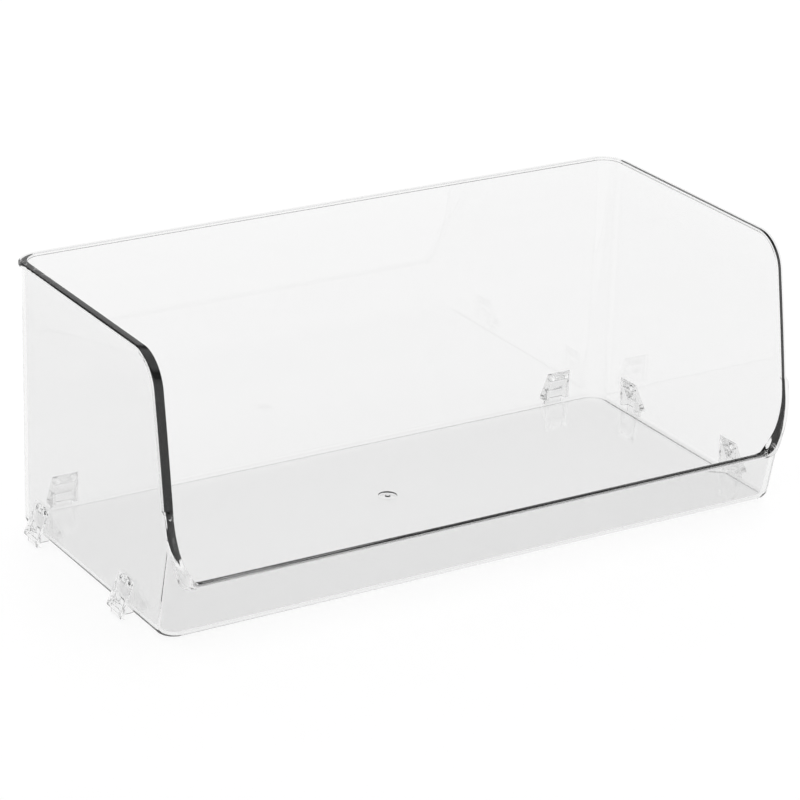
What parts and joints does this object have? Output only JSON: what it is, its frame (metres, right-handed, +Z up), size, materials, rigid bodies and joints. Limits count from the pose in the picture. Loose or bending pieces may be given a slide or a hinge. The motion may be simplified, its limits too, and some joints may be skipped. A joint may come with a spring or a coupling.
{
  "type": "stackable fridge bin",
  "caption": "Clear open-fronted fridge bin with a low front lip, a thick rim and small wedge clips at the foot of the walls that hold it on a bin below.",
  "frame": {"origin": "middle of the object's box seen from above, at the height of the clip tips it stands on", "axes": "+Z up, -Y towards the open front, +X towards the right as seen from the front"},
  "size_m": [0.3292, 0.1558, 0.1266],
  "materials": {
    "clear_shell": "clear, polished",
    "clear_clip": "clear, polished"
  },
  "bodies": {
    "bin": {"bin_shell": "clear_shell"},
    "clip_left_front": {"stacking_clip_left_front": "clear_clip"},
    "clip_left_rear": {"stacking_clip_left_rear": "clear_clip"},
    "clip_right_front": {"stacking_clip_right_front": "clear_clip"},
    "clip_right_rear": {"stacking_clip_right_rear": "clear_clip"},
    "clip_back_left": {"stacking_clip_back_left": "clear_clip"},
    "clip_back_right": {"stacking_clip_back_right": "clear_clip"}
  },
  "joints": [
    {"name": "clip_left_front_pull", "type": "slide", "parent": "bin", "child": "clip_left_front", "axis": [-1, 0, 0], "range_m": [0, 0.008]},
    {"name": "clip_left_rear_pull", "type": "slide", "parent": "bin", "child": "clip_left_rear", "axis": [-1, 0, 0], "range_m": [0, 0.008]},
    {"name": "clip_right_front_pull", "type": "slide", "parent": "bin", "child": "clip_right_front", "axis": [1, 0, 0], "range_m": [0, 0.008]},
    {"name": "clip_right_rear_pull", "type": "slide", "parent": "bin", "child": "clip_right_rear", "axis": [1, 0, 0], "range_m": [0, 0.008]},
    {"name": "clip_back_left_pull", "type": "slide", "parent": "bin", "child": "clip_back_left", "axis": [0, 1, 0], "range_m": [0, 0.008]},
    {"name": "clip_back_right_pull", "type": "slide", "parent": "bin", "child": "clip_back_right", "axis": [0, 1, 0], "range_m": [0, 0.008]}
  ]
}
